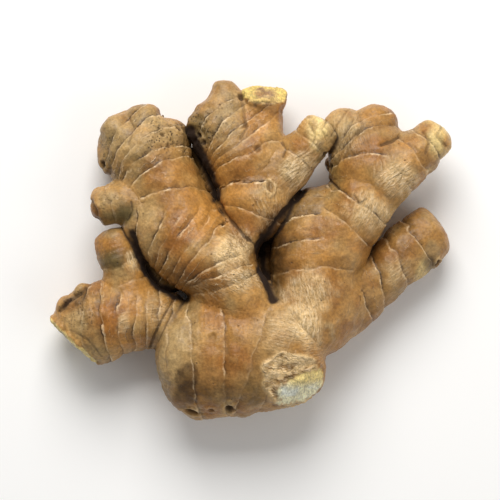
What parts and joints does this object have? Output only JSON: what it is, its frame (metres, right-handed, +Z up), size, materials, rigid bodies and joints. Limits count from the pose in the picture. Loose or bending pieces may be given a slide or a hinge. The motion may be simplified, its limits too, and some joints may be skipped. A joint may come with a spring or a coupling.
{
  "type": "ginger root",
  "caption": "Fresh ginger rhizome in one piece, lying flat: a stout mother lobe with ringed fingers, buds, and dry broken ends.",
  "frame": {"origin": "middle of the outline seen from above, on the surface that the root rests on", "axes": "+X across the hand of fingers, +Y from the mother lobe towards the fingertips, +Z up, away from the surface it lies on"},
  "size_m": [0.16, 0.1366, 0.042],
  "materials": {
    "ginger_skin": "thin tan papery skin over moist flesh, ringed with leaf scars, satin in places"
  },
  "bodies": {
    "root": {"ginger_root": "ginger_skin"}
  },
  "joints": []
}
